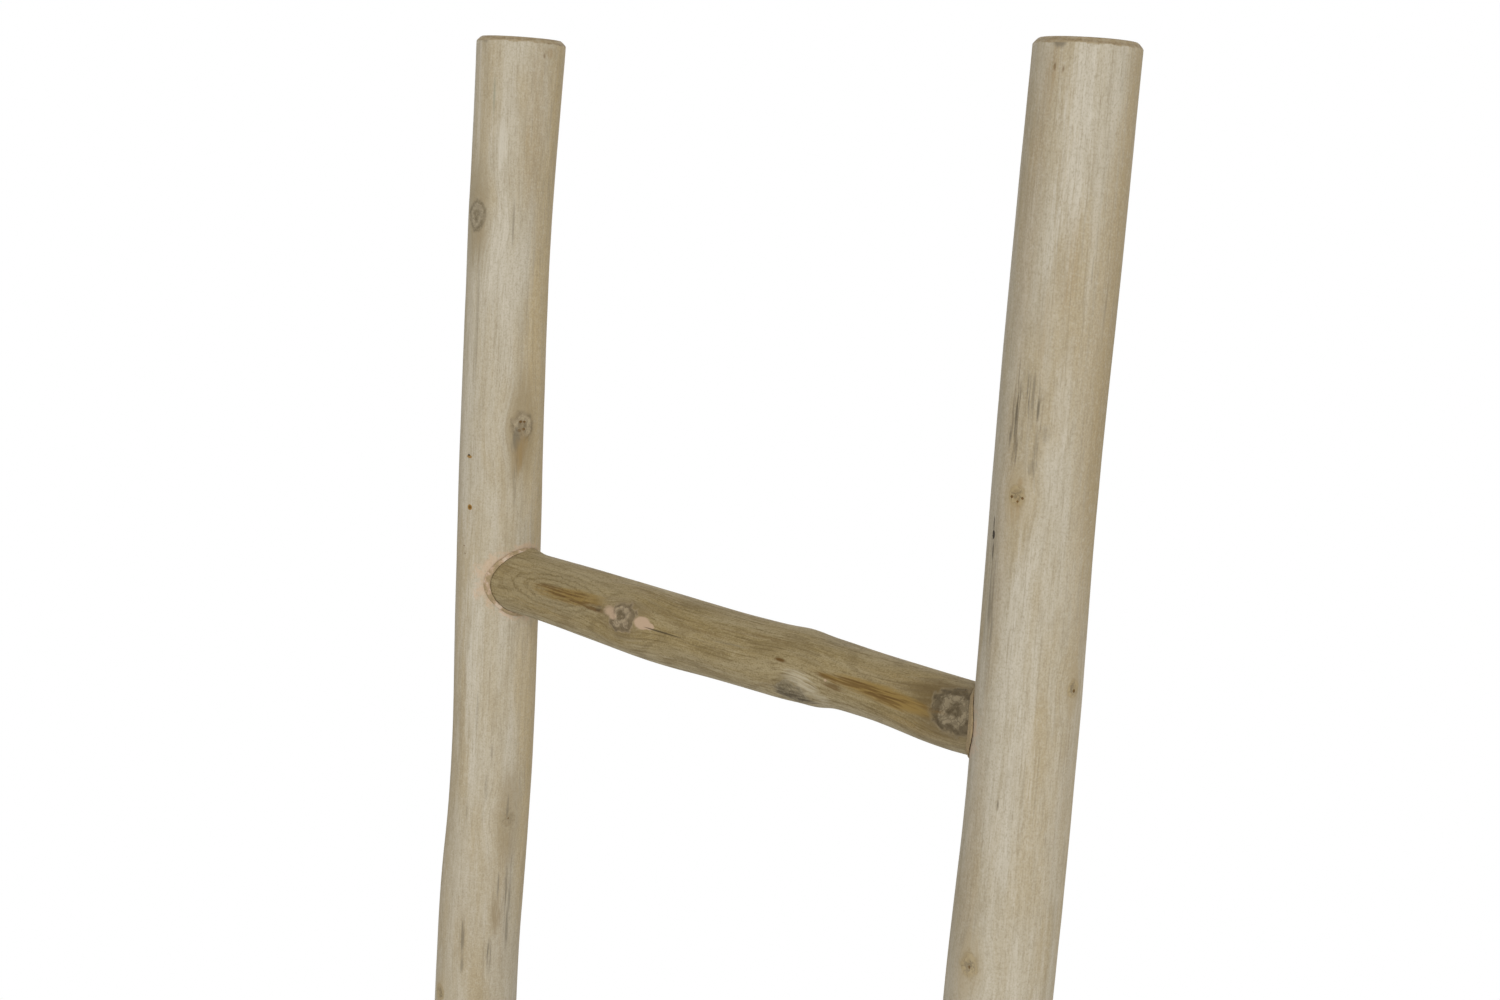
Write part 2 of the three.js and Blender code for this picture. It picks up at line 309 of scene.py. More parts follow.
def stick(name, radius, low, high, axis, centre, sides, chamfer, rings):
    """A straight round stick from low to high along an axis, chamfered and cut into rings.

    axis is 0 or 2, and centre gives the stick's place on the other two axes. rings says how
    many cuts each round of subdivision makes.
    """
    nothing_selected()
    length = float(high - low)
    middle = list(centre)
    middle.insert(axis, (low + high) / 2)
    turn = (0, math.pi / 2, 0) if axis == 0 else (0, 0, 0)
    bpy.ops.mesh.primitive_cylinder_add(
        vertices=sides, radius=radius, depth=length, location=middle, rotation=turn)
    piece = bpy.context.object
    piece.name = name
    bpy.ops.object.transform_apply(location=True, rotation=True, scale=True)
    bpy.ops.object.mode_set(mode="EDIT")
    bpy.ops.mesh.select_mode(type="EDGE")
    if chamfer:
        select_edges(piece, lambda first, last: abs(first[axis] - last[axis]) < length / 2)
        bpy.ops.mesh.bevel(offset=chamfer, segments=4, profile=0.3, affect="EDGES")

    def runs_along(first, last):
        run = abs(first[axis] - last[axis])
        return run > 0.9 * (first - last).length and run > SHORT_EDGE

    for cuts in rings:
        select_edges(piece, runs_along)
        bpy.ops.mesh.subdivide(number_cuts=cuts)
    bpy.ops.mesh.select_all(action="DESELECT")
    bpy.ops.mesh.select_mode(type="FACE")
    mesh = bmesh.from_edit_mesh(piece.data)
    for face in mesh.faces:
        face.select = len(face.verts) > 4
    bmesh.update_edit_mesh(piece.data)
    for _ in range(END_RINGS):
        bpy.ops.mesh.inset(thickness=radius * END_RING_STEP, use_boundary=True)
    bpy.ops.mesh.poke()
    bpy.ops.object.mode_set(mode="OBJECT")
    return piece


STATION_STEP = 5 * MM
FINGER = 60 * MM
FEELERS = 48
LEAST_SHARE = 0.75
SECTION_WAVES = 7
SMOOTH_STATIONS = 6
SMOOTH_SPREAD = 2.2


class Girth:
    """The outline of a pole, felt all round it at close stations along its length."""

    def __init__(self, node, axis, centre, low, high):
        mesh = bpy.data.objects[node].data
        tree = BVHTree.FromPolygons(
            [vert.co for vert in mesh.vertices], [tuple(face.vertices) for face in mesh.polygons])
        self.axis = axis
        self.across = [other for other in range(3) if other != axis]
        self.centre = np.array(centre)
        self.stations = np.linspace(low, high, int((high - low) / STATION_STEP))
        angles = np.arange(FEELERS) * 2 * math.pi / FEELERS
        felt = np.array([[self.feel(tree, station, angle) for angle in angles]
                         for station in self.stations])

        # A finger that goes into a mortise feels nothing near, so its neighbours speak for it
        felt[felt < LEAST_SHARE * np.nanmedian(felt)] = np.nan
        for column in felt.T:
            good = ~np.isnan(column)
            column[~good] = np.interp(self.stations[~good], self.stations[good], column[good])
        waves = np.fft.rfft(felt, axis=1)[:, :SECTION_WAVES + 1] / FEELERS
        waves[:, 1:] *= 2
        steps = np.arange(-SMOOTH_STATIONS, SMOOTH_STATIONS + 1)
        kernel = np.exp(-0.5 * (steps / SMOOTH_SPREAD) ** 2)
        kernel /= kernel.sum()
        padded = np.pad(waves, ((SMOOTH_STATIONS, SMOOTH_STATIONS), (0, 0)), mode="edge")
        self.waves = np.array([np.convolve(wave, kernel, "valid") for wave in padded.T]).T
        self.nominal = float(self.waves[:, 0].real.mean())

    def feel(self, tree, station, angle):
        way = Vector((0, 0, 0))
        way[self.across[0]] = math.cos(angle)
        way[self.across[1]] = math.sin(angle)
        hit = tree.ray_cast(self.point(station, angle, FINGER), -way, FINGER)
        return FINGER - hit[3] if hit[0] is not None else math.nan

    def point(self, along, angle, reach):
        point = Vector((0, 0, 0))
        point[self.axis] = along
        point[self.across[0]] = self.centre[0] + reach * math.cos(angle)
        point[self.across[1]] = self.centre[1] + reach * math.sin(angle)
        return point

    def radius(self, along, angle):
        """The pole's reach from its straight axis, at arrays of places and angles."""
        total = np.zeros(np.shape(along))
        for wave in range(SECTION_WAVES + 1):
            value = (np.interp(along, self.stations, self.waves[:, wave].real)
                     + 1j * np.interp(along, self.stations, self.waves[:, wave].imag))
            total = total + (value * np.exp(1j * wave * angle)).real
        return total

    def skin_point(self, along, turn):
        """A point on the skin, with turn in degrees from the first cross axis."""
        angle = math.radians(turn)
        reach = float(self.radius(np.array([along]), np.array([angle]))[0])
        return self.point(along, angle, reach)


SAND_DEPTH = 0.25 * MM
PEEL_WAVES = 42
PEEL_HEIGHT = 0.34 * MM
TOOL_WAVES = 150
TOOL_HEIGHT = 0.09 * MM


def grow_to(piece, girth, bumps, seed, extra=0.0):
    """Moves a straight stick's skin to a pole's natural outline, with small relief of its own."""
    mesh = piece.data
    places = np.empty(len(mesh.vertices) * 3)
    mesh.vertices.foreach_get("co", places)
    places = places.reshape(-1, 3)
    side = places[:, girth.across] - girth.centre
    angle = np.arctan2(side[:, 1], side[:, 0])
    reach = girth.radius(places[:, girth.axis], angle) - SAND_DEPTH + extra
    reach += relief(places, girth, bumps, seed)
    places[:, girth.across] = girth.centre + side * (reach / girth.nominal)[:, None]
    mesh.vertices.foreach_set("co", places.ravel())
    mesh.update()


def relief(places, girth, bumps, seed):
    """Hand-peeled waviness, the dished rings of knots and plain swellings, in metres."""
    rise = np.empty(len(places))
    shift = Vector((seed * 1.7, seed * 0.9, seed * 2.3))
    squeeze = Vector((1, 1, 1))
    squeeze[girth.axis] = 0.3
    for index, place in enumerate(places):
        spot = Vector(place) * squeeze + shift
        rise[index] = PEEL_HEIGHT * noise.noise(spot * PEEL_WAVES)
        rise[index] += TOOL_HEIGHT * noise.noise(spot * TOOL_WAVES)
    for bump in bumps:
        away = places - np.array(bump["at"])
        far = np.sqrt((away ** 2).sum(axis=1)) / bump["size"]
        if "look" in bump:
            rim = np.exp(-((far - 0.95) / 0.28) ** 2)
            dish = np.exp(-(far / 0.62) ** 2)
            rise += bump["relief"] * (rim - 0.7 * dish)
        else:
            rise += bump["relief"] * np.exp(-far ** 2)
    return rise


def boolean(piece, others, operation):
    """Joins or cuts a piece with others, which are used up."""
    tool = joined(others)
    modifier = piece.modifiers.new(operation.lower(), "BOOLEAN")
    modifier.object = tool
    modifier.operation = operation
    modifier.solver = "EXACT"
    only_selected(piece)
    bpy.ops.object.modifier_apply(modifier=modifier.name)
    bpy.data.objects.remove(tool, do_unlink=True)


def joined(pieces):
    nothing_selected()
    for piece in pieces:
        piece.select_set(True)
    bpy.context.view_layer.objects.active = pieces[0]
    bpy.ops.object.join()
    return pieces[0]


def hand_over(piece, material, smooth_angle, node):
    """Gives a finished piece its material and shading and puts it in place of the CAD node."""
    piece.data.materials.clear()
    piece.data.materials.append(material)
    only_selected(piece)
    bpy.ops.object.shade_smooth_by_angle(angle=math.radians(smooth_angle))
    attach(piece, "root")
    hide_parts(node)


# Colours of the rails' skin, knots, marks and saw cuts
RAIL_PALETTE = (
    (0.540, 0.492, 0.400),
    (0.446, 0.392, 0.292),
    (0.388, 0.310, 0.186),
    (0.255, 0.206, 0.130),
)
# A grey stain, also laid broad and faint as painted shade on the rails' left sides
GREY_STAIN_AND_PAINTED_SHADE = (0.168, 0.142, 0.098)
BLACK_CRACK = (0.025, 0.020, 0.016)
BROWN_DOT = (0.120, 0.060, 0.015)
RESIN_STAIN = (0.285, 0.195, 0.085)
# A tan stain, also laid broad and faint as painted shade on the right rail's left side
TAN_STAIN_AND_PAINTED_SHADE = (0.330, 0.240, 0.125)
# A brown stain under knots, also laid in broad, faint patches as painted shade
KNOT_STAIN_AND_PAINTED_SHADE = (0.270, 0.208, 0.122)
# Warmer and tanner right sides of the rails: partly the wood's own tone and partly painted light on
# that edge
WARM_SIDE_AND_PAINTED_LIGHT = (0.455, 0.352, 0.192)
TAN_SIDE_AND_PAINTED_LIGHT = (0.368, 0.280, 0.150)
ORANGE_DOT = (0.270, 0.145, 0.030)
PALE_PATCH = (0.560, 0.515, 0.425)
PINK_FILLER = (0.455, 0.325, 0.218)
PINK_SMEAR = (0.545, 0.385, 0.258)
GREEN_STAIN = (0.200, 0.215, 0.150)
SAWN_LIGHT = (0.310, 0.240, 0.140)
SAWN_DARK = (0.205, 0.148, 0.078)
PITH = (0.110, 0.070, 0.035)
KNOT_SPLIT = (0.060, 0.044, 0.025)
RAIL_GRAIN = 1.0
RAIL_CONTOURS = 0.10
BROAD_MARK = 5.2 * MM
SAW_EDGE = 0.4 * MM


def knot_at(girth, along, turn, size, look):
    """A knot on the skin, with its radius in millimetres."""
    return {"at": girth.skin_point(along, turn), "size": size * MM, "look": look,
            "relief": look["relief"] * MM}


def mark_at(girth, along, turn, width, length, colour, strength, broken):
    """A stain, streak or patch of painted light and shade on the skin: its half width and half length
    in millimetres.
    """
    return {"at": girth.skin_point(along, turn), "width": width * MM, "length": length * MM,
            "colour": colour, "strength": strength, "broken": broken}


class PeeledWood(Finish):
    """Peeled, sanded teak: streaks along the grain, knots, stains, patches of painted light and shade,
    end grain and filler smears.

    palette holds the pale, middle, tan and dark colours. grain says how strongly the fine lines
    show, and contours how strongly the growth rings do.
    """

    def __init__(self, name, palette, grain, contours, girth, knots, seed):
        super().__init__(name)
        self.pale, self.middle, self.tan, self.dark = palette
        self.girth = girth
        self.seed = seed
        coords = self.parts(self.place())
        self.across = [coords[axis] - float(heart)
                       for axis, heart in zip(girth.across, girth.centre)]
        self.along = coords[girth.axis]
        self.spot = self.vector(*self.across, self.along)
        self.bend_grain(knots)

        self.patches = self.streaks(26, 110, 2.0, 0.0)
        self.bands = self.streaks(8, 70, 3.0, 11.0)
        self.lines = self.streaks(2.1, 40, 3.0, 23.0)
        self.threads = self.streaks(1.1, 60, 2.0, 71.0)
        self.fibres = self.streaks(0.75, 7, 2.0, 37.0)
        self.hatching = self.streaks(1.5, 34, 2.0, 61.0).ramp(0.44, 0.55)
        self.pores = self.streaks(0.5, 1.8, 1.0, 51.0)
        self.speckle = self.noise(self.stretch(self.spot, 900.0), 2.0)
        self.mottle = self.noise(self.stretch(self.flow, 250.0), 3.0, 0.6)
        self.swirl = self.noise(self.stretch(self.spot, 150.0), 3.0, 0.6, 0.6)
        self.grit = self.noise(self.stretch(self.spot, 330.0), 4.0, 0.6).ramp(0.38, 0.66)
        self.reach_mm = self.length(self.vector(*self.across, 0.0)) * 1000.0
        self.grain = grain
        self.contours = contours

    def offset(self, point):
        """The way to here from a point, with the pole's length as its third part."""
        local = [point[axis] - float(heart)
                 for axis, heart in zip(self.girth.across, self.girth.centre)]
        local.append(point[self.girth.axis])
        return self.vector_math("SUBTRACT", self.spot, local)

    def bend_grain(self, knots):
        """Grain swings round each knot."""
        self.flow = self.spot
        self.knot_fields = []
        for knot in knots:
            look = knot["look"]
            offset = self.offset(knot["at"])
            wide = 1.0 / knot["size"]
            scaled = self.vector_math("MULTIPLY", offset, (wide, wide, wide * look["long"]))
            square = self.square_length(scaled)
            pull = (square * 0.22).bell() * look["pull"]
            swing = self.vector_math("MULTIPLY", offset, (1, 1, 0.12))
            self.flow = self.vector_math("ADD", self.flow, self.stretch(swing, pull))
            self.knot_fields.append((knot, offset, square.math("SQRT")))

    def streaks(self, wide_mm, long_mm, detail, shift):
        """Noise drawn out along the grain, with patches about as large as said."""
        drawn = self.vector_math(
            "MULTIPLY", self.flow, (1000 / wide_mm, 1000 / wide_mm, 1000 / long_mm))
        moved = self.vector_math(
            "ADD", drawn, (self.seed * 3.1 + shift, self.seed * 1.3, shift * 1.7))
        return self.noise(moved, detail, 0.55)

    def lay_ground(self):
        """The broad drift of colour that lies under the grain."""
        self.colour = self.blend(self.patches.ramp(0.42, 0.64) * 0.75, self.middle, self.tan)
        self.coat(self.bands.ramp(0.44, 0.70) * 0.50, self.pale)
        self.coat(self.bands.ramp(0.50, 0.30) * 0.28, self.tan)

    def lay_grain(self):
        """Lines, fibres and pores, and the long thin contours where growth rings surface."""
        grain = self.grain
        self.coat(self.lines.ramp(0.50, 0.72) * (0.24 * grain), self.dark)
        self.coat(self.lines.ramp(0.48, 0.26) * (0.26 * grain), self.pale)
        self.coat(self.mottle.ramp(0.52, 0.74) * 0.16, self.dark)
        self.coat(self.mottle.ramp(0.48, 0.26) * 0.22, self.pale)
        self.coat(self.fibres.ramp(0.50, 0.78) * (0.36 * grain), self.dark)
        self.coat(self.fibres.ramp(0.48, 0.22) * (0.26 * grain), self.pale)
        self.coat(self.pores.ramp(0.54, 0.80) * (0.40 * grain), self.dark)
        self.coat(self.threads.ramp(0.56, 0.70) * (0.34 * grain), self.dark)
        self.coat(self.speckle.ramp(0.50, 0.72) * 0.30, self.dark)
        self.coat(self.speckle.ramp(0.50, 0.28) * 0.26, self.pale)
        self.height = (self.lines * 0.30 + self.fibres * 0.32 + self.pores * 0.25
                       + self.speckle * 0.25)
        depth = (self.reach_mm + self.patches * 7.0 + self.bands * 1.2) * 3.9
        self.coat(depth.math("SINE").ramp(0.55, 1.0) * self.contours, self.dark)

    def lay_knots(self):
        """Each knot is a ringed core with small splits, in a flame of darker wood."""
        wobble = self.node("ShaderNodeTexNoise", {}, {
            "Vector": self.spot, "Scale": 420.0, "Detail": 2.0}, "Color")
        cells = self.vector_math("ADD", self.stretch(self.spot, 190.0), self.stretch(wobble, 1.1))
        split = self.node("ShaderNodeTexVoronoi", {"feature": "DISTANCE_TO_EDGE"}, {
            "Vector": cells, "Scale": 1.0}, "Distance").ramp(0.13, 0.02)
        for knot, offset, far in self.knot_fields:
            look = knot["look"]
            ragged = far + (self.swirl - 0.5) * look["warp"]
            flame = self.vector_math("MULTIPLY", offset, (1, 1, look["flame"]))
            flame_far = self.length(flame) / knot["size"] + (self.lines - 0.5) * 1.6
            turns = (ragged * look["rings"]).math("SINE").ramp(look["thin"], 1.0)
            shade = turns * look["turns"] + self.grit * (1 - look["turns"])
            core = self.blend(shade, look["light"], look["dark"])
            core = self.blend(split * ragged.ramp(0.95, 0.45) * look["split"], core, KNOT_SPLIT)
            self.coat(flame_far.ramp(1.8, 0.7) * look["halo"], look["halo_colour"])
            self.coat(ragged.ramp(1.18, 0.80) * look["strength"], core)
            dent = (self.grit - turns - split) * ragged.ramp(1.1, 0.8)
            self.height = self.height + dent * 0.7

    def lay_marks(self, marks):
        """Stains, streaks, cracks and patches of painted light and shade, whose edges are ragged along
        the grain.
        """
        for mark in marks:
            wide = 1 / mark["width"]
            broken = mark["broken"]
            far = self.length(self.vector_math(
                "MULTIPLY", self.offset(mark["at"]), (wide, wide, 1 / mark["length"])))
            ragged = (far + (self.lines - 0.5) * (2.6 * broken)
                      + (self.fibres - 0.5) * (1.4 * broken))
            share = ragged.ramp(1.1, 0.8 if broken < 0.2 else 0.35) * mark["strength"]
            if broken > 0.4:
                share = share * (self.hatching * broken + (1 - broken))
            self.coat(share, mark["colour"])
            if mark["colour"] == BLACK_CRACK and mark["width"] < BROAD_MARK:
                self.height = self.height - ragged.ramp(1.0, 0.5) * 4.0

    def lay_smears(self, joints):
        """Pinkish filler is smeared round each joint of a rail."""
        for inward, y, z, reach_mm in joints:
            aside = self.across[1] - (y - float(self.girth.centre[1]))
            gap = self.vector(aside, self.along - z, 0.0)
            past_rim = self.length(gap) * 1000.0 - reach_mm
            smear = (past_rim - (self.swirl - 0.40) * 22.0).ramp(4.5, -1.5)
            inner = (self.across[0] * inward).ramp(2 * MM, 8 * MM)
            self.coat(smear * inner * 0.55, PINK_SMEAR)

    def lay_saw_cuts(self, low, high):
        """Sawn ends show rings, pores and pith, and so do their chamfers."""
        wavy = (self.swirl - 0.5) * (4 * MM)
        below = (self.along - low + wavy).ramp(SAW_EDGE, -SAW_EDGE)
        above = (self.along - high + wavy).ramp(-SAW_EDGE, SAW_EDGE)
        rings = ((self.reach_mm + self.bands * 1.5) * 2.6).math("SINE").ramp(-0.4, 1.0)
        sawn = self.blend(rings * 0.5, SAWN_LIGHT, SAWN_DARK)
        sawn = self.blend(self.reach_mm.ramp(3.0, 1.2), sawn, PITH)
        sawn = self.blend(self.speckle.ramp(0.5, 0.75) * 0.5, sawn, PITH)
        sawn = self.blend(self.grit * 0.35, sawn, self.middle)
        self.coat(below.greater(above), sawn)

    def close_skin(self):
        return self.close(0.62 + self.lines * 0.16 + self.pores * 0.06, 0.22 * MM)


def peeled(wood, marks):
    """Lays the coats of a skin. Broad marks lie under the grain and narrow ones over it."""
    wood.lay_ground()
    wood.lay_marks([mark for mark in marks if mark["width"] >= BROAD_MARK])
    wood.lay_grain()
    wood.lay_knots()
    wood.lay_marks([mark for mark in marks if mark["width"] < BROAD_MARK])


# A knot's look. long is its width over its length, pull how far the grain swings round it, and
# warp how ragged it is. rings, thin and turns say how close, how thin and how strong its rings
# are, light and dark are their colours, and split is the strength of its cracks. halo is the
# strength of the darker wood round it, and flame that wood's width over its length. strength is
# the knot's own, and relief the height of its rim in millimetres
ANY_KNOT = {"long": 0.8, "pull": -0.62, "warp": 1.1, "thin": -0.9, "turns": 0.6, "relief": 0.25}
GREY_KNOT = {**ANY_KNOT, "rings": 9.0, "light": (0.370, 0.315, 0.220),
             "dark": (0.140, 0.112, 0.066), "halo": 0.60, "halo_colour": (0.270, 0.215, 0.125),
             "flame": 0.32, "split": 0.25, "strength": 0.75, "warp": 0.8}
FAINT_KNOT = {**ANY_KNOT, "rings": 8.0, "light": (0.400, 0.330, 0.220),
              "dark": (0.140, 0.105, 0.060), "halo": 0.60, "halo_colour": (0.270, 0.205, 0.108),
              "flame": 0.30, "split": 0.35, "strength": 0.75, "warp": 0.8}
SOFT_KNOT = {**FAINT_KNOT, "rings": 5.0, "light": (0.410, 0.345, 0.232),
             "dark": (0.250, 0.195, 0.110), "halo": 0.50, "strength": 0.45, "warp": 1.3}
BROWN_KNOT = {**ANY_KNOT, "rings": 7.0, "light": (0.380, 0.290, 0.150),
              "dark": (0.250, 0.180, 0.080), "halo": 0.45, "halo_colour": (0.370, 0.290, 0.170),
              "flame": 0.40, "split": 0.55, "strength": 0.60}

# Knots and marks are placed by the drop from the rail's top in millimetres, and by turn in
# degrees from the right side over the wall side, so that 270 faces the room. A mark then has
# its half width, half length, colour and strength, and how broken it is
rail_knot_tables = {
    "rail_left": [
        (115, 263, 8.8, GREY_KNOT), (252, 348, 8.5, FAINT_KNOT),
        (524, 353, 7.5, SOFT_KNOT), (656, 255, 5.0, BROWN_KNOT),
        (890, 120, 8.0, GREY_KNOT), (1180, 35, 9.0, FAINT_KNOT),
        (1330, 280, 5.5, BROWN_KNOT), (1520, 230, 8.5, GREY_KNOT),
    ],
    "rail_right": [
        (229, 274, 4.6, BROWN_KNOT), (329, 0, 4.5, BROWN_KNOT),
        (482, 269, 6.0, BROWN_KNOT), (760, 330, 5.0, FAINT_KNOT),
        (970, 160, 8.0, GREY_KNOT), (1310, 265, 9.0, FAINT_KNOT),
        (1600, 60, 7.0, GREY_KNOT),
    ],
}
